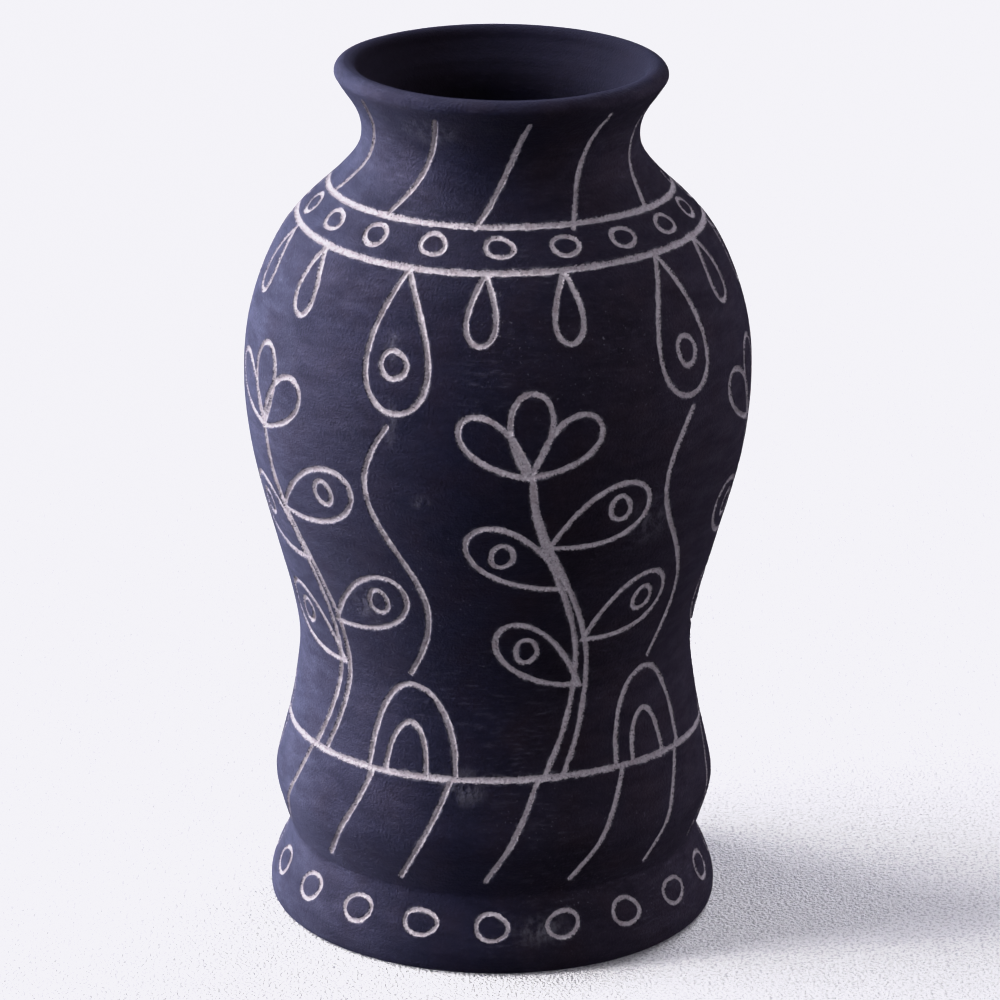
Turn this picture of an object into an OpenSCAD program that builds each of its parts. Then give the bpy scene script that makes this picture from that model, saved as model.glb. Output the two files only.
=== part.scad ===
// Carved black clay pot, raised in courses of clay that are bevelled, scored and luted to one another.
// Millimetres, +Z up, origin on the ground under the middle of the foot.

/* [Heights] */
// Height from the ground to the top of the lip
pot_h = 280; // [260:1:300]
// Height of the crease where the body is luted to the foot
foot_h = 24.5; // [22:0.5:30]

/* [Radii] */
// Foot at its widest
foot_r = 73; // [70:0.5:78]
// Crease between foot and body
crease_r = 66; // [64:0.5:68]
// Bulge just above the foot
hip_r = 71.2; // [69:0.1:76]
// Waist between the bulge and the belly
waist_r = 63.4; // [60:0.1:66]
// Belly at its widest
belly_r = 81; // [76:0.5:86]
// Throat, the narrowest part of the neck
throat_r = 44; // [42:0.5:48]
// Lip at its widest
lip_r = 52.8; // [51:0.1:56]

/* [Clay] */
// Thickness of the wall
wall = 6.4; // [5:0.1:7]
// Radius of the rolled lip
lip_roll = 3.8; // [3:0.1:4.2]
// Thickness of the floor
floor_t = 8; // [6:0.5:9]
// Lift of the floor's underside off the ground
floor_lift = 1.5; // [0.5:0.5:2]
// Radius of the floor
floor_r = 58; // [56:0.5:58]
// Leg of the fillet coil pressed into the corner above the floor
fillet = 6; // [4:0.5:7]
// Rounding of the foot's bottom edge
foot_round = 2.5; // [1:0.5:3]

/* [Carved rings] */
// Width of a carved ring line
ring_w = 2.4; // [1.6:0.1:3.6]
// Depth of a carved ring line
ring_d = 0.8; // [0.4:0.1:1.2]

/* [Hidden] */
$fn = 180;

burnished = [0.11, 0.10, 0.13];
unburnished = [0.20, 0.19, 0.20];

step = 3.2;      // longest stretch of wall between two profile points
floor_top = floor_lift + floor_t;
body_h = pot_h - foot_h;
lip_c = [lip_r - lip_roll, pot_h - lip_roll];   // centre of the lip's roll

// Each joint is a cone through the wall: its height on the outer skin, then on the inner skin.
// Four of the outer edges lie hidden under the crease or a carved ring; the waist, belly and rim
// joints are smoothed over.
foot_joint = [foot_h, foot_h - 4];
hip_joint = [at(0.155), at(0.155) - 4];
waist_joint = [at(0.42), at(0.42) - 4];
belly_joint = [at(0.615), at(0.615) - 4];
shoulder_joint = [at(0.807), at(0.807) - 4.5];
band_joint = [at(0.8465), at(0.8465) - 4.5];
rim_joint = [at(0.955), at(0.955) + 1.5];

function at(share) = foot_h + share * body_h;
function between(a, b, share) = a + (b - a) * share;

// Stations [height, radius] that the outer skin passes through, from the crease to under the lip.
outer_body = [
    [foot_h, crease_r],
    [at(0.035), between(crease_r, hip_r, 0.58)],
    [at(0.072), hip_r],
    [at(0.11), between(hip_r, waist_r, 0.22)],
    [at(0.152), between(hip_r, waist_r, 0.55)],
    [at(0.2), between(hip_r, waist_r, 0.83)],
    [at(0.26), waist_r],
    [at(0.32), between(waist_r, belly_r, 0.14)],
    [at(0.398), between(waist_r, belly_r, 0.45)],
    [at(0.485), between(waist_r, belly_r, 0.79)],
    [at(0.545), between(waist_r, belly_r, 0.945)],
    [at(0.605), belly_r],
    [at(0.665), between(belly_r, throat_r, 0.03)],
    [at(0.72), between(belly_r, throat_r, 0.125)],
    [at(0.77), between(belly_r, throat_r, 0.27)],
    [at(0.803), between(belly_r, throat_r, 0.42)],
    [at(0.836), between(belly_r, throat_r, 0.64)],
    [at(0.863), between(belly_r, throat_r, 0.835)],
    [at(0.89), between(belly_r, throat_r, 0.97)],
    [at(0.918), throat_r],
    [at(0.946), between(throat_r, lip_r, 0.24)],
    [at(0.97), between(throat_r, lip_r, 0.72)],
    [lip_c.y, lip_r],
];

// The same for the inner skin, from above the fillet coil to the lip.
inner_body = [
    [floor_top + fillet, floor_r],
    [foot_h + 1, between(floor_r, crease_r - wall, 0.7)],
    [at(0.045), between(crease_r, hip_r, 0.35) - wall],
    [at(0.085), hip_r - wall],
    [at(0.135), between(hip_r, waist_r, 0.4) - wall],
    [at(0.2), between(hip_r, waist_r, 0.84) - wall],
    [at(0.26), waist_r - wall],
    [at(0.32), between(waist_r, belly_r, 0.13) - wall],
    [at(0.398), between(waist_r, belly_r, 0.44) - wall],
    [at(0.485), between(waist_r, belly_r, 0.78) - wall],
    [at(0.545), between(waist_r, belly_r, 0.94) - wall],
    [at(0.6), belly_r - wall],
    [at(0.655), between(belly_r, throat_r, 0.03) - wall],
    [at(0.708), between(belly_r, throat_r, 0.125) - wall],
    [at(0.755), between(belly_r, throat_r, 0.27) - wall],
    [at(0.787), between(belly_r, throat_r, 0.42) - wall],
    [at(0.82), between(belly_r, throat_r, 0.63) - wall],
    [at(0.85), between(belly_r, throat_r, 0.83) - wall],
    [at(0.882), between(belly_r, throat_r, 0.965) - wall],
    [at(0.918), throat_r - wall],
    [at(0.95), between(throat_r, lip_r, 0.17) - wall],
    [lip_c.y, lip_r - 2 * lip_roll],
];

// Outer skin of the foot, from its bottom edge to the crease.
outer_foot = [
    [foot_round, foot_r - 0.2],
    [0.22 * foot_h, foot_r],
    [0.4 * foot_h, between(foot_r, crease_r, 0.12)],
    [0.62 * foot_h, between(foot_r, crease_r, 0.42)],
    [0.82 * foot_h, between(foot_r, crease_r, 0.76)],
    [foot_h, crease_r],
];

// Slope of a station list at station i, from its neighbours
function slope(st, i) =
    let (a = max(i - 1, 0), b = min(i + 1, len(st) - 1))
    (st[b].y - st[a].y) / (st[b].x - st[a].x);

// Radius at height z of the smooth curve through a station list
function radius(st, z) =
    let (i = max([0, for (k = [0 : len(st) - 2]) if (st[k].x <= z) k]),
         h = st[i + 1].x - st[i].x,
         t = (z - st[i].x) / h)
    st[i].y * (1 + 2 * t) * pow(1 - t, 2) + slope(st, i) * h * t * pow(1 - t, 2)
    + st[i + 1].y * t * t * (3 - 2 * t) + slope(st, i + 1) * h * t * t * (t - 1);

// Profile points [radius, height] of a skin between two heights, first to last
function skin(st, from, to) =
    let (n = max(1, ceil(abs(to - from) / step)))
    [for (k = [0 : n]) let (z = from + (to - from) * k / n) [radius(st, z), z]];

// Points of an arc about c, by angle from +X
function arc(c, r, from, to, n) =
    [for (k = [0 : n]) let (a = from + (to - from) * k / n) c + r * [cos(a), sin(a)]];

// One course of the wall between two joints
module course(low, high) {
    polygon(concat(skin(outer_body, low[0], high[0]), skin(inner_body, high[1], low[1])));
}

// Round-bottomed line carved round the outside at the outer edge of a joint
module ring_cut(joint) {
    cut_r = (pow(ring_w / 2, 2) + pow(ring_d, 2)) / (2 * ring_d);
    translate([radius(outer_body, joint[0]) + cut_r - ring_d, joint[0]]) circle(r = cut_r);
}

module floor_slab() {
    color(unburnished) translate([0, 0, floor_lift]) cylinder(h = floor_t, r = floor_r);
}

// Concave fillet of soft clay pressed into the corner between floor and foot
module floor_luting_coil() {
    corner = [floor_r, floor_top];
    color(unburnished) rotate_extrude()
        polygon(concat([corner], arc(corner + [-fillet, fillet], fillet, -90, 0, 8)));
}

module foot_ring() {
    bottom_edge = arc([foot_r - 0.2 - foot_round, foot_round], foot_round, -90, 0, 5);
    inside = skin(inner_body, foot_joint[1], floor_top + fillet);
    color(burnished) rotate_extrude()
        polygon(concat([[floor_r, 0]], bottom_edge, skin(outer_foot, foot_round + 1, foot_h), inside));
}

module hip_course() {
    color(burnished) rotate_extrude() difference() {
        course(foot_joint, hip_joint);
        ring_cut(hip_joint);
    }
}

module waist_course() {
    color(burnished) rotate_extrude() difference() {
        course(hip_joint, waist_joint);
        ring_cut(hip_joint);
    }
}

module belly_course() {
    color(burnished) rotate_extrude() course(waist_joint, belly_joint);
}

module shoulder_course() {
    color(burnished) rotate_extrude() difference() {
        course(belly_joint, shoulder_joint);
        ring_cut(shoulder_joint);
    }
}

module band_course() {
    color(burnished) rotate_extrude() difference() {
        course(shoulder_joint, band_joint);
        ring_cut(shoulder_joint);
        ring_cut(band_joint);
    }
}

module neck_collar() {
    color(burnished) rotate_extrude() difference() {
        course(band_joint, rim_joint);
        ring_cut(band_joint);
    }
}

module rim_coil() {
    color(burnished) rotate_extrude()
        polygon(concat(skin(outer_body, rim_joint[0], lip_c.y - 0.8), arc(lip_c, lip_roll, 0, 180, 14),
                       skin(inner_body, lip_c.y - 0.8, rim_joint[1])));
}

floor_slab();
floor_luting_coil();
foot_ring();
hip_course();
waist_course();
belly_course();
shoulder_course();
band_course();
neck_collar();
rim_coil();
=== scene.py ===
# A carved black clay pot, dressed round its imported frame. The wall's section is read from the frame's
# own nodes. A lattice that runs round the pot one way and round the section the other is refined beside
# the carved strokes, cut to their depth, and parted at the potter's joints, so that each course of clay
# is one closed piece.

import math

import bpy
import numpy as np
from mathutils import Matrix, Vector


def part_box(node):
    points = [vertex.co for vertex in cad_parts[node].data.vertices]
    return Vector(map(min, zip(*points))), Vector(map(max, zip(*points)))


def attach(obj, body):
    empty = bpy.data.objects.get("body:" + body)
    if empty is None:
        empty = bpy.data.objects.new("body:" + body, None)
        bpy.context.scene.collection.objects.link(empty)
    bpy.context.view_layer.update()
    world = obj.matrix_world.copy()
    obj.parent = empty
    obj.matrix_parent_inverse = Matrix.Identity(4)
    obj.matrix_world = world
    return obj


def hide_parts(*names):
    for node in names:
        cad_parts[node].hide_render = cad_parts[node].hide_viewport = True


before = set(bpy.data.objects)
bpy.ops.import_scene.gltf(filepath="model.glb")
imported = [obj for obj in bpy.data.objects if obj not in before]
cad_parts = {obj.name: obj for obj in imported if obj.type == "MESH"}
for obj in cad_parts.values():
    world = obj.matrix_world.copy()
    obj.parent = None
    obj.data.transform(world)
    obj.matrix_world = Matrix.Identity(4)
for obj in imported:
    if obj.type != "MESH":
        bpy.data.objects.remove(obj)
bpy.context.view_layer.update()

MM = 0.001
STEP = 0.2 * MM               # spacing of the dense section
WALL = ("foot_ring", "hip_course", "waist_course", "belly_course", "shoulder_course",
        "band_course", "neck_collar", "rim_coil")
RING_JOINTS = (1, 4, 5)       # joints that lie under a carved ring line, counted up from the foot

# ---------------------------------------------------------------- carved strokes
# A stroke is a list of (degrees round the pot, height in mm). 0 degrees faces -Y and degrees grow to
# the viewer's right. The ornament is a plain one: each motif is a formula that is repeated round the
# pot, and each repeat gets a small waver of its own.

# Heights of the carved rings, in mm
HIP_RING = 64
SHOULDER_RING = 230.5
NECK_RING = 241

FLAT_R = 75                      # radius in mm at which degrees are turned into mm

PLANTS = 5                       # plants round the body
FIRST_PLANT = 16                 # degrees
STEM_FOOT = 65                   # height of a stem's foot, in mm
STEM_H = 105                     # mm
STEM_BEND = 9                    # degrees that a stem swings to either side
STEM_SPREAD = 2.6                # degrees from a stem's middle to either line, at its foot
LEAVES = [(0.28, 148), (0.42, 30), (0.62, 150), (0.76, 28)]   # share of the stem, direction
LEAF_OVAL = 25                   # mm from a leaf's point to the oval in it
PETALS = (42, 90, 138)           # directions in degrees from the horizontal

# Drops as (length in mm, width, of which the formula uses about three quarters to either side)
LEAF_SIZE = (36, 11)
PETAL_SIZE = (27, 8)
LONG_DROP_SIZE = (42, 13)
SHORT_DROP_SIZE = (20, 6)

TENDRIL_FOOT = 98                # mm
TENDRIL_H = 86                   # mm
TENDRIL_BEND = 6                 # degrees

# How many go round the pot
NECK_STROKES = 11
HIP_STROKES = 15
BAND_OVALS = 18
FOOT_OVALS = 19

# Heights in mm
HIP_STROKE_FOOT = 30
NECK_STROKE_TOP = 273
BAND_OVAL_H = 236.3
FOOT_OVAL_H = 15.5

WAVER = 0.8                      # how far a hand strays, in degrees and in mm

# Lines as (half width, depth) in mm
STEM_LINE = (0.88, 0.75)
LEAF_LINE = (0.85, 0.7)
GAP_LINE = (0.85, 0.75)
FIELD_OVAL_LINE = (0.78, 0.7)
HIP_LINE = (0.82, 0.75)
NECK_LINE = (0.8, 0.75)
BAND_OVAL_LINE = (0.72, 0.55)
FOOT_OVAL_LINE = (0.66, 0.6)
RING_LINE = (1.0, 0.7)


def hand(stroke, seed):
    """The stroke with the small waver of a hand."""
    p, q = np.random.default_rng(seed).uniform(0, 6, 2)
    return [(a + WAVER * math.sin(z / 17 + p), z + WAVER * math.sin(a / 11 + q)) for a, z in stroke]


def ring(height, seed):
    """A line right round the pot."""
    p, q = np.random.default_rng(seed).uniform(0, 6, 2)
    stroke = []
    for a in range(-180, 181, 12):
        turn = math.radians(a)
        stroke.append((a, height + 0.5 * math.sin(2 * turn + p) + 0.3 * math.sin(3 * turn + q)))
    return stroke


def slanted(degrees, low, high, lean, seed):
    """A slightly bowed stroke that leans to the right on its way up."""
    stroke = []
    for k in range(5):
        t = k / 4
        stroke.append((degrees + lean * t * (1.3 - 0.3 * t), low + t * (high - low)))
    return hand(stroke, seed)


def drop(degrees, height, toward, length, width, seed):
    """A closed drop with its point at the place given, growing toward an angle from the horizontal."""
    way = math.radians(toward)
    stroke = []
    for k in range(17):
        t = 2 * math.pi * k / 16
        along = length * (1 - math.cos(t)) / 2
        across = width * math.sin(t) * math.sin(t / 2)
        x = along * math.cos(way) - across * math.sin(way)
        y = along * math.sin(way) + across * math.cos(way)
        stroke.append((degrees + math.degrees(x / FLAT_R), height + y))
    return hand(stroke, seed)


def stem_place(degrees, t):
    """Middle of a plant's stem, from 0 at its foot to 1 at its top."""
    return degrees + STEM_BEND * math.sin(1.5 * math.pi * t), STEM_FOOT + STEM_H * t


def stem_side(degrees, side, seed):
    """One of the two lines of a stem, which meet at the top."""
    stroke = []
    for k in range(9):
        a, z = stem_place(degrees, k / 8)
        stroke.append((a + side * STEM_SPREAD * (1 - k / 8), z))
    return hand(stroke, seed)


def tendril(degrees, seed):
    """A wavy line that fills the gap between two plants."""
    stroke = []
    for k in range(11):
        t = k / 10
        stroke.append((degrees + TENDRIL_BEND * math.sin(2 * math.pi * t), TENDRIL_FOOT + TENDRIL_H * t))
    return hand(stroke, seed)


def arch(degrees, half_width, height, seed):
    """An arch that stands on the hip ring."""
    stroke = []
    for k in range(9):
        t = math.pi * k / 8
        stroke.append((degrees - half_width * math.cos(t), HIP_RING + height * math.sin(t)))
    return hand(stroke, seed)


def spline(points, step):
    """Points about one step apart along a smooth curve through the given points."""
    p = np.array(points, float)
    gap = np.linalg.norm(np.diff(p, axis=0), axis=1)
    slope = np.gradient(p, np.r_[0, np.cumsum(gap)], axis=0)
    out = []
    for i, g in enumerate(gap):
        t = np.linspace(0, 1, max(2, math.ceil(g / step) + 1))[:-1, None]
        start = (1 + 2 * t) * (1 - t) ** 2 * p[i] + t * (1 - t) ** 2 * g * slope[i]
        end = t * t * (3 - 2 * t) * p[i + 1] - t * t * (1 - t) * g * slope[i + 1]
        out.append(start + end)
    return np.vstack([*out, p[-1:]])


def smooth(low, high, x):
    """0 below low, 1 above high, and a soft step between."""
    t = np.clip((x - low) / (high - low), 0, 1)
    return t * t * (3 - 2 * t)


def noise(points, size, seed):
    """Smooth random values from -1 to 1 at the points, changing over about size metres."""
    grid = points / size + 1000
    cell = np.floor(grid).astype(np.int64)
    t = grid - cell
    t = t * t * (3 - 2 * t)
    total = np.zeros(len(points))
    for corner in np.ndindex(2, 2, 2):
        c = cell + corner
        h = c[:, 0] * 374761393 + c[:, 1] * 668265263 + c[:, 2] * 1274126177 + seed * 974634777
        h = (h ^ (h >> 13)) * 1103515245
        value = ((h ^ (h >> 16)) & 0xFFFF) / 32767.5 - 1
        total += value * np.prod(np.where(corner, t, 1 - t), axis=1)
    return total


# ---------------------------------------------------------------- the wall's section
def joint_edges(k):
    """Heights of joint k on the outer and on the inner skin. All but the rim's slope down inwards."""
    top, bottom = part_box(WALL[k])[1].z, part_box(WALL[k + 1])[0].z
    return (bottom, top) if WALL[k + 1] == "rim_coil" else (top, bottom)


JOINTS = [joint_edges(k) for k in range(len(WALL) - 1)]


def skin_radius(z, start, way):
    """Radius at which a level ray along X first meets the wall."""
    hits = [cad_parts[name].ray_cast(Vector((start, 0, z)), Vector((way, 0, 0))) for name in WALL]
    return min((h[1].x for h in hits if h[0]), key=lambda r: abs(r - start))


def section_points():
    """(radius, height) points of the wall's section: up the outer skin, over the lip, down the inner."""
    seam = set()
    for name in WALL:
        co = [v.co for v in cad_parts[name].data.vertices]
        seam |= {(round(v.x, 6), round(v.z, 6)) for v in co if abs(v.y) < 1e-7 and v.x > 0}
    top_r, top_z = max(seam, key=lambda p: p[1])
    outer, inner = [], []
    for r, z in sorted(seam, key=lambda p: p[1]):
        level = min(max(z, 0.1 * MM), top_z - 0.01 * MM)
        past_lip = z > top_z - 3 * MM and r < top_r - 1e-6
        in_ring = any(abs(z - JOINTS[k][0]) < 2.4 * MM for k in RING_JOINTS)
        if past_lip or abs(r - skin_radius(level, 0, 1)) < 1.2 * MM:
            inner.append((r, z))
        elif abs(r - skin_radius(level, 0.2, -1)) < 2.5 * MM and not in_ring:
            outer.append((r, z))
    return outer, inner[::-1]


def eased(run, reach):
    """A dense run of points with its corners rounded off over about the reach, and its ends kept."""
    n = round(reach / STEP)
    wide = np.vstack([2 * run[0] - run[n:0:-1], run, 2 * run[-1] - run[-2:-n - 2:-1]])
    weight = np.hanning(2 * n + 3)[1:-1]
    return np.column_stack([np.convolve(axis, weight / weight.sum(), "valid") for axis in wide.T])


def section_curve():
    """The closed section as dense radius, height and length arrays."""
    outer, inner = section_points()
    corner = max(i for i, p in enumerate(inner) if p[1] > 1 * MM)
    bottom = spline([inner[-1], outer[0]], STEP)
    skin = eased(spline(outer + inner[:corner + 1], STEP), 1.6 * MM)
    well = spline(inner[corner:], STEP)
    path = np.vstack([bottom[:-1], skin[:-1], well])
    length = np.r_[0, np.cumsum(np.linalg.norm(np.diff(path, axis=0), axis=1))]
    return path[:, 0], path[:, 1], length


SECTION_R, SECTION_Z, SECTION_S = section_curve()
LIP = int(SECTION_Z.argmax())         # where the outer skin turns into the inner


def outer_length(z):
    """Length along the section at a height on the outer skin."""
    return np.interp(z, SECTION_Z[:LIP + 1], SECTION_S[:LIP + 1])


def inner_length(z):
    """The same on the inner skin."""
    return np.interp(z, SECTION_Z[:LIP - 1:-1], SECTION_S[:LIP - 1:-1])


# ---------------------------------------------------------------- the lattice
COLUMNS = 160       # base cells round the pot
ROW = 3.0 * MM  # height of a base cell
FINE = 8                                       # finest cells along a base cell's side
N = COLUMNS * FINE


def lattice_rows():
    """Section length at each finest row, and the finest row at which each joint meets each skin."""
    stops = [0.0] + [outer_length(o) for o, _ in JOINTS] + [inner_length(i) for _, i in JOINTS[::-1]]
    stops.append(SECTION_S[-1])
    lengths, marks = [], [0]
    for a, b in zip(stops, stops[1:]):
        count = max(1, round((b - a) / ROW)) * FINE
        lengths.append(np.linspace(a, b, count + 1)[:-1])
        marks.append(marks[-1] + count)
    outer_rows = marks[1:len(WALL)]
    inner_rows = marks[len(WALL):-1][::-1]
    return np.concatenate(lengths), outer_rows, inner_rows


ROW_S, OUTER_ROWS, INNER_ROWS = lattice_rows()
M = len(ROW_S)
ROW_R = np.interp(ROW_S, SECTION_S, SECTION_R)
ROW_Z = np.interp(ROW_S, SECTION_S, SECTION_Z)
LIP_ROW = int(ROW_Z.argmax())
ANGLE = 2 * math.pi / N


class Carving:
    """Distance to the nearest stroke at every lattice point, as a share of its half width."""

    def __init__(self):
        self.ratio = np.full((M, N), 9.0, np.float32)
        self.half = np.full((M, N), 1.2 * MM, np.float32)
        self.deep = np.zeros((M, N), np.float32)
        self.random = np.random.default_rng(11)

    def cut(self, stroke, half, depth):
        """Cuts one stroke; its half width and depth are in mm."""
        flat = np.array(stroke, float) * [math.radians(FLAT_R), 1]
        line = spline(flat, 0.8)
        knots = np.arange(0, len(line) + 8, 5)
        along = np.arange(len(line))
        width = 1 + 0.13 * np.interp(along, knots, self.random.uniform(-1, 1, len(knots)))
        press = 1 + 0.2 * np.interp(along, knots, self.random.uniform(-1, 1, len(knots)))
        theta = line[:, 0] / FLAT_R
        length = outer_length(line[:, 1] * MM)
        for i in range(len(line) - 1):
            self.splat(theta[i:i + 2], length[i:i + 2], half * width[i] * MM, depth * press[i] * MM)

    def splat(self, theta, length, half, deep):
        """Writes one short piece of a stroke into the fields."""
        reach = 1.6 * half + 0.5 * MM
        low, high = np.searchsorted(ROW_S[:LIP_ROW], [length.min() - reach, length.max() + reach])
        if high <= low:
            return
        rows = np.arange(low, high)
        spread = reach / ROW_R[rows].min()
        first, last = (theta.min() - spread) / ANGLE, (theta.max() + spread) / ANGLE
        cols = np.arange(math.floor(first), math.ceil(last))
        x = (cols * ANGLE - theta[0])[None, :] * ROW_R[rows][:, None]
        y = (ROW_S[rows] - length[0])[:, None]
        dx = (theta[1] - theta[0]) * ROW_R[rows].mean()
        dy = length[1] - length[0]
        t = np.clip((x * dx + y * dy) / (dx * dx + dy * dy + 1e-15), 0, 1)
        ratio = np.hypot(x - t * dx, y - t * dy) / half
        place = np.ix_(rows, cols % N)
        closer = ratio < self.ratio[place]
        self.ratio[place] = np.where(closer, ratio, self.ratio[place])
        self.half[place] = np.where(closer, half, self.half[place])
        self.deep[place] = np.where(closer, deep, self.deep[place])

    def oval(self, degrees, height, half_width, half_height, tilt, half, depth):
        """Cuts an oval with a hand's waver; its sizes are in mm and its tilt in degrees."""
        r = np.interp(outer_length(height * MM), SECTION_S, SECTION_R) / MM
        steps = 24
        lean = math.radians(tilt)
        rise = np.interp(outer_length(height * MM), SECTION_S[1:], np.diff(SECTION_Z) / np.diff(SECTION_S))
        start, p, q = self.random.uniform(0, 2 * math.pi, 3)
        points = []
        for k in range(steps + 1):
            a = start + 2 * math.pi * k / steps
            waver = 1 + 0.05 * math.sin(2 * a + p) + 0.03 * math.sin(3 * a + q)
            u, v = half_width * math.cos(a) * waver, half_height * math.sin(a) * waver
            across, up = u * math.cos(lean) - v * math.sin(lean), u * math.sin(lean) + v * math.cos(lean)
            points.append((degrees + math.degrees(across / r), height + up * rise))
        self.cut(points, half, depth)


def carve_plant(c, degrees, seed):
    """A stem of two lines with four leaves and a bud of three petals."""
    for side in (-1, 1):
        c.cut(stem_side(degrees, side, seed), *STEM_LINE)
    for i, (share, toward) in enumerate(LEAVES):
        a, z = stem_place(degrees, share)
        c.cut(drop(a, z, toward, *LEAF_SIZE, seed + i), *LEAF_LINE)
        way = math.radians(toward)
        oval_a = a + math.degrees(LEAF_OVAL * math.cos(way) / FLAT_R)
        c.oval(oval_a, z + LEAF_OVAL * math.sin(way), 3.5, 4, 0, *FIELD_OVAL_LINE)
    a, z = stem_place(degrees, 1)
    for toward in PETALS:
        c.cut(drop(a, z, toward, *PETAL_SIZE, seed + toward), *LEAF_LINE)


def carve_gap(c, degrees, seed):
    """Arches below, a tendril in the middle and a long hanging drop, between two plants."""
    c.cut(arch(degrees, 13, 30, seed), *GAP_LINE)
    c.cut(arch(degrees, 6, 16, seed + 1), *GAP_LINE)
    c.cut(tendril(degrees, seed + 2), *GAP_LINE)
    c.cut(drop(degrees, SHOULDER_RING, -90, *LONG_DROP_SIZE, seed + 3), *GAP_LINE)
    c.oval(degrees, SHOULDER_RING - 28, 4, 4.5, 10, *FIELD_OVAL_LINE)


def carve_rows(c):
    """The slanting strokes of hip and neck, and the ovals of band and foot."""
    for k in range(HIP_STROKES):
        start = -170 + 360 * k / HIP_STROKES
        c.cut(slanted(start, HIP_STROKE_FOOT, HIP_RING, 15, k + 400), *HIP_LINE)
    for k in range(NECK_STROKES):
        start = -172 + 360 * k / NECK_STROKES
        c.cut(slanted(start, NECK_RING, NECK_STROKE_TOP, 18, k + 500), *NECK_LINE)
    for k in range(BAND_OVALS):
        c.oval(360 * k / BAND_OVALS, BAND_OVAL_H, 4.2, 3.5, -10, *BAND_OVAL_LINE)
    for k in range(FOOT_OVALS):
        c.oval(360 * k / FOOT_OVALS, FOOT_OVAL_H, 5.2, 4.2, 5, *FOOT_OVAL_LINE)


def carve():
    """Every carved stroke. The seeds only make each stroke's waver its own."""
    c = Carving()
    pitch = 360 / PLANTS
    for k in range(PLANTS):
        degrees = FIRST_PLANT + k * pitch
        carve_plant(c, degrees, 10 * k)
        carve_gap(c, degrees + pitch / 2 - 4, 10 * k + 200)
        for shift in (-20, 2):
            seed = 10 * k + 300 + shift
            c.cut(drop(degrees + shift, SHOULDER_RING, -90, *SHORT_DROP_SIZE, seed), *LEAF_LINE)
    carve_rows(c)
    for i, height in enumerate((HIP_RING, SHOULDER_RING, NECK_RING)):
        c.cut(ring(height, i + 600), *RING_LINE)
    return c


# ---------------------------------------------------------------- refining the lattice
def any_in_blocks(mask, size):
    """Whether each block of lattice cells holds a marked point."""
    return mask.reshape(mask.shape[0] // size, size, mask.shape[1] // size, size).any((1, 3))


def grown(mask):
    """The mask and its eight neighbours; the lattice closes on itself both ways."""
    wide = mask | np.roll(mask, 1, 0) | np.roll(mask, -1, 0)
    return wide | np.roll(wide, 1, 1) | np.roll(wide, -1, 1)


def rows_near(length, reach):
    """Rows within a reach of one place on the section."""
    return np.abs(ROW_S - length) < reach


def split_masks(carving):
    """Which cells of size 8, 4 and 2 are split, balanced so that neighbours differ by one size."""
    close = carving.ratio * carving.half < carving.half * 1.12 + 0.25 * MM
    crease = rows_near(outer_length(JOINTS[0][0]), 1.2 * MM)
    bottom_edge = rows_near(outer_length(1.2 * MM), 4 * MM)
    lip = rows_near(ROW_S[LIP_ROW], 14 * MM)
    throat = rows_near(inner_length(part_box("band_course")[0].z), 60 * MM) & (np.arange(M) > LIP_ROW)
    outside = np.arange(M) < LIP_ROW
    fine = close | crease[:, None]
    middling = fine | (bottom_edge | lip)[:, None]
    coarse = middling | (outside | throat)[:, None]
    split = {2: any_in_blocks(fine, 2), 4: any_in_blocks(middling, 4), 8: any_in_blocks(coarse, 8)}
    for size in (4, 8):
        split[size] |= any_in_blocks(grown(split[size // 2]), 2)
    return split


def leaves(split):
    """Unsplit cells as (rows, columns, size) arrays, largest first."""
    exists = np.ones((M // FINE, N // FINE), bool)
    found = []
    for size in (8, 4, 2):
        rows, cols = np.nonzero(exists & ~split[size])
        found.append((rows * size, cols * size, size))
        exists = np.repeat(np.repeat(exists & split[size], 2, 0), 2, 1)
    rows, cols = np.nonzero(exists)
    found.append((rows, cols, 1))
    return found


def point_id(rows, cols):
    return (rows % M) * N + cols % N


def corner_ids(rows, cols, size):
    """The four corners of cells, in order round each cell as seen from outside the wall."""
    return [point_id(rows, cols), point_id(rows, cols + size), point_id(rows + size, cols + size),
            point_id(rows + size, cols)]


def cells_to_faces(cells):
    """Quads for plain cells and fans for cells that meet smaller neighbours, each with its row."""
    used = np.zeros(M * N, bool)
    for rows, cols, size in cells:
        for ids in corner_ids(rows, cols, size):
            used[ids] = True
    quads, quad_rows, fans, fan_rows = [], [], [], []
    for rows, cols, size in cells:
        corners = corner_ids(rows, cols, size)
        if size == 1:
            quads.append(np.stack(corners, 1))
            quad_rows.append(rows)
            continue
        h = size // 2
        middles = [point_id(rows, cols + h), point_id(rows + h, cols + size),
                   point_id(rows + size, cols + h), point_id(rows + h, cols)]
        hanging = np.stack([used[m] for m in middles], 1)
        plain = ~hanging.any(1)
        quads.append(np.stack(corners, 1)[plain])
        quad_rows.append(rows[plain])
        centre = point_id(rows + h, cols + h)
        for k in range(4):
            a, m, b = corners[k], middles[k], corners[(k + 1) % 4]
            whole = ~plain & ~hanging[:, k]
            halved = ~plain & hanging[:, k]
            for face, keep in (((centre, a, b), whole), ((centre, a, m), halved), ((centre, m, b), halved)):
                fans.append(np.stack(face, 1)[keep])
                fan_rows.append(rows[keep])
    for fan in fans:
        used[fan[:, 0]] = True
    return np.vstack(quads), np.concatenate(quad_rows), np.vstack(fans), np.concatenate(fan_rows), used


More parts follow.
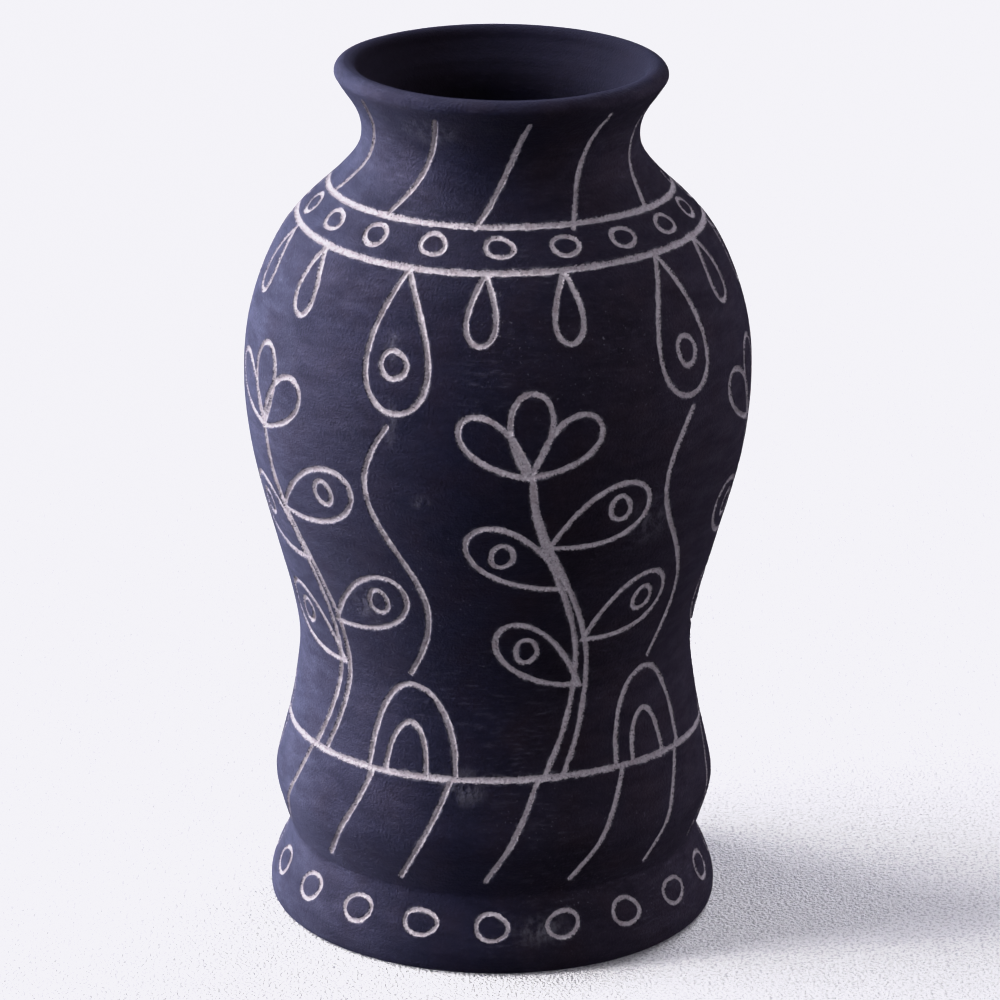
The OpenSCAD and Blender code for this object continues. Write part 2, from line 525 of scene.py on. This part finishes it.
# ---------------------------------------------------------------- the clay surface
def clay_surface(used, carving):
    """Position of every used lattice point, and its distance from a groove's middle.

    The distance is a share of the groove's half width. It is at most 3 outside, and 4 on the inside.
    """
    ids = np.flatnonzero(used)
    rows, cols = ids // N, ids % N
    theta = cols * ANGLE
    r, z = ROW_R[rows], ROW_Z[rows]
    tangent = np.stack([np.gradient(SECTION_R), np.gradient(SECTION_Z)], 1)
    tangent /= np.linalg.norm(tangent, axis=1)[:, None]
    nr = np.interp(ROW_S[rows], SECTION_S, tangent[:, 1])
    nz = np.interp(ROW_S[rows], SECTION_S, -tangent[:, 0])
    around = np.stack([np.sin(theta), -np.cos(theta)], 1)
    at = np.column_stack([around * r[:, None], z])
    outside = rows < LIP_ROW

    off_ground = smooth(0.5 * MM, 6 * MM, z)
    wander = 0.28 * MM * noise(at, 70 * MM, 1) + 0.1 * MM * noise(at, 22 * MM, 2)
    r = r + wander * off_ground
    lip_wander = 0.35 * MM * noise(np.column_stack([around * 0.05, 0 * z]), 40 * MM, 3)
    z = z + lip_wander * smooth(0.93, 1.0, z / ROW_Z.max())
    lines = np.sin(z / (4.2 * MM) * 2 * math.pi + 2.5 * noise(at, 50 * MM, 4)) + noise(at, 6 * MM, 5)
    push = np.where(outside, 0.0, 0.08 * MM * lines * off_ground)

    ratio = carving.ratio[rows, cols].astype(float)
    deep = carving.deep[rows, cols].astype(float)
    ragged = ratio + 0.12 * noise(at, 2.2 * MM, 6) + 0.15 * noise(at, 0.9 * MM, 7)
    cut = 1 - np.clip(ragged, 0, 1) ** 3
    floor = 1 + 0.2 * noise(at, 1.6 * MM, 8) + 0.3 * noise(at, 0.8 * MM, 9)
    chips = smooth(0.5, 0.8, noise(at, 1.3 * MM, 10)) * smooth(1.35, 1.0, ragged)
    burr = np.exp(-((ragged - 1.2) / 0.14) ** 2) * smooth(0.0, 0.7, noise(at, 2.5 * MM, 12))
    push = push - deep * cut * floor - 0.2 * MM * chips + 0.1 * MM * burr
    points = np.column_stack([around * (r + nr * push)[:, None], z + nz * push])
    groove = np.where(outside, np.minimum(ragged - 0.2 * chips, 3.0), 4.0)
    return ids, points, groove


def vertex_normals(points, quads, fans):
    """Area-weighted normals of the whole wall, so that no seam shows where it is parted."""
    total = np.zeros_like(points)
    for faces in (quads, fans):
        a, b = points[faces[:, 2]] - points[faces[:, 0]], points[faces[:, -1]] - points[faces[:, 1]]
        if faces.shape[1] == 3:
            a, b = points[faces[:, 1]] - points[faces[:, 0]], points[faces[:, 2]] - points[faces[:, 0]]
        normal = np.cross(a, b)
        for corner in faces.T:
            for axis in range(3):
                total[:, axis] += np.bincount(corner, normal[:, axis], len(points))
    return total / np.maximum(np.linalg.norm(total, axis=1)[:, None], 1e-12)


def joint_face(used, joint):
    """Triangles that close a course at a joint, facing down and out of the upper course."""
    outer_row, inner_row = OUTER_ROWS[joint], INNER_ROWS[joint]
    grid = used.reshape(M, N)
    outer = np.r_[np.flatnonzero(grid[outer_row]), N]
    inner = np.r_[np.flatnonzero(grid[inner_row]), N]
    faces, a, b = [], 0, 0
    while a < len(outer) - 1 or b < len(inner) - 1:
        if b == len(inner) - 1 or (a < len(outer) - 1 and outer[a + 1] <= inner[b + 1]):
            ends = [(outer_row, outer[a + 1]), (outer_row, outer[a]), (inner_row, inner[b])]
            a += 1
        else:
            ends = [(outer_row, outer[a]), (inner_row, inner[b]), (inner_row, inner[b + 1])]
            b += 1
        faces.append([point_id(*end) for end in ends])
    return np.array(faces)


# ---------------------------------------------------------------- meshes
def mesh_object(name, points, faces, material, values=None, normals=None):
    """A smooth mesh from face arrays, with an optional point attribute and corner normals."""
    mesh = bpy.data.meshes.new(name)
    sizes = np.concatenate([np.full(len(f), f.shape[1]) for f in faces])
    corners = np.concatenate([f.ravel() for f in faces])
    mesh.vertices.add(len(points))
    mesh.vertices.foreach_set("co", np.asarray(points, np.float32).ravel())
    mesh.loops.add(len(corners))
    mesh.loops.foreach_set("vertex_index", corners.astype(np.int32))
    mesh.polygons.add(len(sizes))
    mesh.polygons.foreach_set("loop_start", np.r_[0, np.cumsum(sizes)[:-1]].astype(np.int32))
    mesh.update(calc_edges=True)
    mesh.polygons.foreach_set("use_smooth", np.ones(len(sizes), bool))
    if values is not None:
        mesh.attributes.new("groove", "FLOAT", "POINT").data.foreach_set("value", values.astype(np.float32))
    if normals is not None:
        mesh.normals_split_custom_set(normals.tolist())
    mesh.validate()
    mesh.materials.append(material)
    piece = bpy.data.objects.new(name, mesh)
    bpy.context.scene.collection.objects.link(piece)
    return piece


def stand_for(piece, node):
    """Puts a finished piece in the place of its CAD node."""
    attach(piece, "root")
    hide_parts(node)


def build_wall(material):
    """The eight courses of the wall, each a closed piece."""
    carving = carve()
    quads, quad_rows, fans, fan_rows, used = cells_to_faces(leaves(split_masks(carving)))
    ids, points, groove = clay_surface(used, carving)
    index = np.zeros(M * N, np.int64)
    index[ids] = np.arange(len(ids))
    quads, fans = index[quads], index[fans]
    normals = vertex_normals(points, quads, fans)
    joints = [index[joint_face(used, k)] for k in range(len(JOINTS))]
    for k, name in enumerate(WALL):
        last = k == len(WALL) - 1
        if k == 0:
            spans = [(0, OUTER_ROWS[0]), (INNER_ROWS[0], M)]
        elif last:
            spans = [(OUTER_ROWS[-1], INNER_ROWS[-1])]
        else:
            spans = [(OUTER_ROWS[k - 1], OUTER_ROWS[k]), (INNER_ROWS[k], INNER_ROWS[k - 1])]
        mine = [sum((rows >= a) & (rows < b) for a, b in spans).astype(bool)
                for rows in (quad_rows, fan_rows)]
        skins = [quads[mine[0]], fans[mine[1]]]
        ends = ([joints[k - 1]] if k else []) + ([joints[k][:, ::-1]] if not last else [])
        faces = skins + ends
        kept, inverse = np.unique(np.concatenate([f.ravel() for f in faces]), return_inverse=True)
        cuts = np.cumsum([f.size for f in faces])[:-1]
        local = [part.reshape(f.shape) for part, f in zip(np.split(inverse, cuts), faces)]
        corner_normals = [normals[f.ravel()] for f in skins]
        for f in ends:
            flat = np.cross(points[f[:, 1]] - points[f[:, 0]], points[f[:, 2]] - points[f[:, 0]])
            flat /= np.maximum(np.linalg.norm(flat, axis=1)[:, None], 1e-12)
            corner_normals.append(np.repeat(flat, 3, 0))
        piece = mesh_object("carved_" + name, points[kept], local, material, groove[kept],
                            np.vstack(corner_normals))
        stand_for(piece, name)


def lathe(name, section, columns, shape, material, closed=False):
    """A turned piece, pushed by shape(theta, r, z), with its ends capped or its section closed."""
    rings = []
    for k in range(columns):
        theta = 2 * math.pi * k / columns
        for r, z in section:
            r2, z2 = shape(theta, r, z)
            rings.append((r2 * math.sin(theta), -r2 * math.cos(theta), z2))
    n = len(section)
    spans = n if closed else n - 1
    quads = []
    for k in range(columns):
        here, there = k * n, (k + 1) % columns * n
        for j in range(spans):
            quads.append((here + j, there + j, there + (j + 1) % n, here + (j + 1) % n))
    faces = [np.array(quads)]
    if not closed:
        low, high = len(rings), len(rings) + 1
        rings += [(0, 0, section[0][1]), (0, 0, section[-1][1])]
        caps = []
        for k in range(columns):
            here, there = k * n, (k + 1) % columns * n
            caps.append((low, there, here))
            caps.append((high, here + n - 1, there + n - 1))
        faces.append(np.array(caps))
    return mesh_object(name, rings, faces, material)


def build_floor_slab(material):
    """The slab, with the spiral a fingertip leaves when the clay is pressed out from the middle."""
    low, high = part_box("floor_slab")
    r = high.x
    flat = np.linspace(2 * MM, r - 0.6 * MM, 48)
    section = [(x, low.z) for x in flat] + [(r, low.z + 0.6 * MM), (r, high.z - 0.6 * MM)]
    section += [(x, high.z) for x in flat[::-1]]
    middle = (low.z + high.z) / 2

    def shape(theta, x, z):
        fade = smooth(0, 12 * MM, x) * (1 - smooth(r - 12 * MM, r - 2 * MM, x))
        swirl = math.cos(2 * math.pi * x / (9 * MM) - theta)
        return x, z + (-0.45 * MM * (1 - swirl) * fade if z > middle else 0)

    piece = lathe("pressed_floor_slab", section, 128, shape, material)
    stand_for(piece, "floor_slab")


def build_luting_coil(material):
    """The fillet of soft clay, with the dabs of the finger that pressed it in."""
    low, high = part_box("floor_luting_coil")
    leg, r = high.z - low.z, high.x
    section = [(r, low.z)]
    for k in range(11):
        a = math.radians(90 * k / 10)
        section.append((r - leg + leg * math.sin(a), high.z - leg * math.cos(a)))

    def shape(theta, x, z):
        middle = 4 * (x - r + leg) * (high.z - z) / leg ** 2
        dab = abs(math.sin(13 * theta + 0.6 * math.sin(3 * theta)))
        off_corner = 0 if x > r - 1e-6 or z < low.z + 1e-6 else 1
        return x + 0.35 * MM * dab * middle * off_corner, z - 0.35 * MM * dab * middle * off_corner

    piece = lathe("dabbed_luting_coil", section, 208, shape, material, closed=True)
    stand_for(piece, "floor_luting_coil")


# ---------------------------------------------------------------- materials
class Nodes:
    """A short way to write a shader's nodes."""

    def __init__(self, name):
        self.material = bpy.data.materials.new(name)
        self.material.use_nodes = True
        self.tree = self.material.node_tree
        self.shader = self.tree.nodes["Principled BSDF"]
        self.place = self.add("ShaderNodeTexCoord").outputs["Object"]

    def add(self, kind, **settings):
        node = self.tree.nodes.new(kind)
        for key, value in settings.items():
            setattr(node, key, value)
        return node

    def feed(self, socket, value):
        if isinstance(value, bpy.types.NodeSocket):
            self.tree.links.new(value, socket)
        else:
            socket.default_value = value

    def stretched(self, scale):
        node = self.add("ShaderNodeMapping")
        self.feed(node.inputs["Vector"], self.place)
        node.inputs["Scale"].default_value = scale
        return node.outputs["Vector"]

    def noise(self, scale, detail=3.0, roughness=0.5, vector=None):
        node = self.add("ShaderNodeTexNoise")
        self.feed(node.inputs["Vector"], vector or self.place)
        node.inputs["Scale"].default_value = scale
        node.inputs["Detail"].default_value = detail
        node.inputs["Roughness"].default_value = roughness
        return node.outputs["Fac"]

    def range(self, value, low, high, to_low=0.0, to_high=1.0):
        node = self.add("ShaderNodeMapRange")
        for socket, number in zip(node.inputs[:5], (value, low, high, to_low, to_high)):
            self.feed(socket, number)
        return node.outputs["Result"]

    def math(self, operation, a, b):
        node = self.add("ShaderNodeMath", operation=operation)
        self.feed(node.inputs[0], a)
        self.feed(node.inputs[1], b)
        return node.outputs[0]

    def mix(self, share, a, b):
        node = self.add("ShaderNodeMix", data_type="RGBA")
        self.feed(node.inputs["Factor"], share)
        self.feed(node.inputs[6], a)
        self.feed(node.inputs[7], b)
        return node.outputs[2]

    def near(self, degrees, height, reach, tall):
        """1 at a place on the wall, 0 beyond the reach in millimetres; tall draws it out upwards."""
        around = math.radians(degrees)
        r = float(np.interp(outer_length(height * MM), SECTION_S, SECTION_R))
        away = self.add("ShaderNodeVectorMath", operation="SUBTRACT")
        self.feed(away.inputs[0], self.place)
        away.inputs[1].default_value = (r * math.sin(around), -r * math.cos(around), height * MM)
        shrunk = self.add("ShaderNodeVectorMath", operation="MULTIPLY")
        self.feed(shrunk.inputs[0], away.outputs["Vector"])
        shrunk.inputs[1].default_value = (1, 1, 1 / tall)
        length = self.add("ShaderNodeVectorMath", operation="LENGTH")
        self.feed(length.inputs[0], shrunk.outputs["Vector"])
        return self.range(length.outputs["Value"], reach * MM, 0)

    def bump(self, height, distance, strength=1.0):
        node = self.add("ShaderNodeBump")
        self.feed(node.inputs["Height"], height)
        node.inputs["Distance"].default_value = distance
        node.inputs["Strength"].default_value = strength
        self.feed(self.shader.inputs["Normal"], node.outputs["Normal"])


# Pale marks on the skin: degrees, height, reach, and how much taller than wide. The first two are pale
# streaks, the rest scraped places.
SCUFFS = [
    (-25, 208, 3.5, 2.5),
    (-24, 185, 3, 3),
    (-17, 160, 4, 0.8),
    (-28, 268, 12, 0.5),
    (-8, 62, 9, 0.8),
    (-35, 120, 7, 1.5),
    (14, 14, 12, 0.5),
    (38, 150, 9, 1.2),
    (150, 170, 10, 1.2),
    (205, 90, 9, 1),
]


def burnished_clay():
    """Black burnished skin over paler clay, which shows inside the carved grooves."""
    n = Nodes("burnished_clay")
    groove = n.add("ShaderNodeAttribute", attribute_name="groove").outputs["Fac"]

    cloudy = n.range(n.noise(34, 6, 0.6), 0.36, 0.64)
    warm = n.range(n.noise(75, 3), 0.45, 0.7)
    skin = n.mix(cloudy, (0.0006, 0.0003, 0.0014, 1), (0.0026, 0.0021, 0.0056, 1))
    skin = n.mix(warm, skin, (0.0032, 0.0014, 0.0026, 1))
    speckle = n.range(n.noise(900, 3, 0.7), 0.54, 0.80, 0.0, 0.4)
    skin = n.mix(speckle, skin, (0.024, 0.022, 0.036, 1))
    strokes = n.noise(200, 5, 0.62, n.stretched((1, 1, 5)))
    rubbed = n.math("MULTIPLY", n.range(strokes, 0.55, 0.8), n.range(n.noise(22, 4), 0.45, 0.7, 0.0, 0.9))
    skin = n.mix(rubbed, skin, (0.040, 0.038, 0.056, 1))
    speck_places = n.range(n.noise(16, 3), 0.5, 0.66)
    specks = n.math("MULTIPLY", n.range(n.noise(1150, 2), 0.68, 0.74), speck_places)
    scraped = n.range(n.noise(420, 4, 0.7, n.stretched((1, 1, 0.5))), 0.44, 0.62, 0.0, 0.6)
    for degrees, height, reach, tall in SCUFFS:
        scuff = n.math("MULTIPLY", n.near(degrees, height, reach, tall), scraped)
        specks = n.math("MAXIMUM", specks, scuff)
    dusty = n.math("MULTIPLY", n.range(groove, 2.0, 1.0), n.range(n.noise(500, 4, 0.7), 0.48, 0.66, 0.0, 0.5))
    skin = n.mix(n.math("MAXIMUM", n.math("MULTIPLY", specks, 0.5), dusty), skin, (0.16, 0.155, 0.19, 1))

    crumbs = n.range(n.noise(2000, 3, 0.7), 0.25, 0.75, -0.6, 0.6)
    pale = n.range(n.math("ADD", groove, crumbs), 1.06, 0.92)
    grain = n.noise(1300, 4, 0.65)
    cut = n.mix(n.range(grain, 0.3, 0.7), (0.26, 0.224, 0.253, 1), (0.52, 0.485, 0.535, 1))
    stained = n.range(n.noise(260, 3), 0.5, 0.75, 0.0, 0.45)
    cut = n.mix(stained, cut, (0.21, 0.160, 0.168, 1))
    # Near-black specks in the cut clay: painted shade of tiny pits.
    pit_shade = n.range(n.noise(1500, 2), 0.66, 0.70)
    cut = n.mix(pit_shade, cut, (0.02, 0.016, 0.018, 1))

    inside = n.range(groove, 3.2, 3.8)
    # Darker skin inside the pot: painted shade of the pot's interior.
    skin = n.mix(n.math("MULTIPLY", inside, 0.6), skin, (0.0010, 0.0006, 0.0016, 1))
    n.feed(n.shader.inputs["Base Color"], n.mix(pale, skin, cut))
    brushed = n.noise(70, 7, 0.7, n.stretched((1, 1, 3)))
    gloss = n.range(inside, 0, 1, n.range(brushed, 0.36, 0.64, 0.60, 0.80), 0.92)
    n.feed(n.shader.inputs["Roughness"], n.range(pale, 0, 1, gloss, 0.9))
    n.shader.inputs["Specular IOR Level"].default_value = 0.45
    n.shader.inputs["Sheen Weight"].default_value = 0.015
    n.shader.inputs["Sheen Roughness"].default_value = 0.45
    n.shader.inputs["Sheen Tint"].default_value = (0.5, 0.5, 1.0, 1)
    skin_height = n.math("ADD", n.math("MULTIPLY", strokes, 0.5), n.math("MULTIPLY", grain, 0.9))
    clay_height = n.math("MULTIPLY", grain, 2.2)
    n.bump(n.math("ADD", n.math("MULTIPLY", skin_height, n.range(pale, 1, 0)),
                  n.math("MULTIPLY", clay_height, pale)), 0.0006, 0.8)
    return n.material


def raw_clay():
    """Unburnished black clay, matt and grainy."""
    n = Nodes("raw_clay")
    cloudy = n.range(n.noise(40, 5), 0.35, 0.65)
    n.feed(n.shader.inputs["Base Color"], n.mix(cloudy, (0.022, 0.020, 0.023, 1), (0.045, 0.041, 0.044, 1)))
    n.feed(n.shader.inputs["Roughness"], n.range(n.noise(150, 3), 0.3, 0.7, 0.75, 0.92))
    n.bump(n.noise(700, 5, 0.65), 0.0003, 0.8)
    return n.material


def pale_ground():
    """Pale, pebbly plaster for the floor to stand on, with painted shade in its hollows."""
    n = Nodes("pale_ground")
    pebbles = n.noise(900, 2, 0.55)
    # Darker where the pebbles are low: painted shade in the hollows of the plaster.
    n.feed(n.shader.inputs["Base Color"],
           n.mix(n.range(pebbles, 0.49, 0.37), (0.93, 0.92, 0.96, 1), (0.60, 0.59, 0.64, 1)))
    n.feed(n.shader.inputs["Roughness"], n.range(n.noise(80, 2), 0, 1, 0.85, 0.95))
    n.bump(pebbles, 0.0026, 1.0)
    return n.material


# ---------------------------------------------------------------- stage
def build_ground():
    """A wide pale floor."""
    half = 6.0
    mesh = bpy.data.meshes.new("ground")
    corners = [(-half, -half, 0), (half, -half, 0), (half, half, 0), (-half, half, 0)]
    mesh.from_pydata(corners, [], [(0, 1, 2, 3)])
    mesh.materials.append(pale_ground())
    ground = bpy.data.objects.new("ground", mesh)
    bpy.context.scene.collection.objects.link(ground)
    ground.visible_glossy = False
    ground.visible_diffuse = False
    ground.visible_shadow = False


def area_light(name, degrees, height, size, power, color, diffuse=True, glossy=True):
    """A soft box 4.5 m off, so many degrees round the pot and above the ground, turned to the pot."""
    lamp = bpy.data.lights.new(name, "AREA")
    lamp.shape = "RECTANGLE"
    lamp.size, lamp.size_y = size
    lamp.energy = power
    lamp.color = color
    holder = bpy.data.objects.new(name, lamp)
    around, up = math.radians(degrees), math.radians(height)
    middle = Vector((0, 0, 0.13))
    way = Vector((math.cos(up) * math.sin(around), -math.cos(up) * math.cos(around), math.sin(up)))
    holder.location = middle + 4.5 * way
    holder.rotation_euler = way.to_track_quat("Z", "Y").to_euler()
    holder.visible_diffuse = diffuse
    holder.visible_glossy = glossy
    bpy.context.scene.collection.objects.link(holder)


# Tall panels round the pot as (name, degrees, width in metres, power in watts, colour)
PANELS = [("left_panel", -80, 2.0, 350, (0.38, 0.42, 1.0)),
          ("left_rear_panel", -110, 2.0, 560, (0.68, 0.64, 1.0)),
          ("rear_panel", -140, 2.5, 280, (0.44, 0.53, 1.0)),
          ("right_panel", 75, 2.0, 80, (0.80, 0.60, 1.0)),
          ("right_rear_panel", 120, 2.5, 45, (0.75, 0.62, 1.0))]


def build_light():
    """A high and a low key from the left, soft fills, and tall panels that show only as sheen."""
    area_light("key", -99, 45, (3.0, 3.0), 480, (1.0, 0.975, 0.95), glossy=False)
    area_light("low_key", -75, 12, (1.0, 1.0), 260, (1.0, 0.97, 0.98), glossy=False)
    area_light("low_fill", 20, 10, (5.0, 3.0), 130, (0.96, 0.94, 1.0), glossy=False)
    area_light("overhead", 0, 89, (6.0, 6.0), 65, (0.97, 0.96, 1.0), glossy=False)
    area_light("back_fill", 150, 30, (2.5, 2.5), 190, (0.94, 0.93, 1.0), glossy=False)
    for name, degrees, width, power, color in PANELS:
        area_light(name, degrees, 14, (width, 8.0), power, color, diffuse=False)
    world = bpy.data.worlds.new("room")
    bpy.context.scene.world = world
    world.use_nodes = True
    world.node_tree.nodes["Background"].inputs["Color"].default_value = (0.9, 0.85, 1.0, 1)
    world.node_tree.nodes["Background"].inputs["Strength"].default_value = 0.02


def set_tones():
    """Standard tones with a soft shoulder, so that the brightest floor stays just under white."""
    view = bpy.context.scene.view_settings
    view.view_transform = "Standard"
    view.use_curve_mapping = True
    tones = view.curve_mapping
    tones.extend = "HORIZONTAL"
    brightest = 1.6                                   # light at the curve's right end
    tones.white_level = (brightest, brightest, brightest)
    for channel, top in zip(tones.curves, (0.90, 0.892, 0.935)):
        channel.points[-1].location = (1.0, top)
        channel.points.new(0.55 / brightest, 0.55)
        channel.points.new(0.8 / brightest, 0.77)
        channel.points.new(1.05 / brightest, top - 0.03)
        channel.points.new(1.3 / brightest, top)
    tones.update()


def build_camera():
    """A long lens that looks down a little over 19 degrees at the pot's middle."""
    pitch, roll = math.radians(19.265), math.radians(0.661)
    distance, aim_height, aside = 1.5848, 0.1346, 0.0011
    look = Vector((0, math.cos(pitch), -math.sin(pitch)))
    up = Vector((0, math.sin(pitch), math.cos(pitch)))
    right = Vector((1, 0, 0))
    x_axis = math.cos(roll) * right + math.sin(roll) * up
    y_axis = math.cos(roll) * up - math.sin(roll) * right
    data = bpy.data.cameras.new("camera")
    data.lens, data.sensor_width = 177.2, 36
    camera = bpy.data.objects.new("camera", data)
    turn = Matrix((x_axis, y_axis, -look)).transposed().to_4x4()
    place = Vector((aside, 0, aim_height)) - distance * look
    camera.matrix_world = Matrix.Translation(place) @ turn
    bpy.context.scene.collection.objects.link(camera)
    bpy.context.scene.camera = camera


build_camera()
build_wall(burnished_clay())
raw = raw_clay()
build_floor_slab(raw)
build_luting_coil(raw)
build_ground()
build_light()
set_tones()
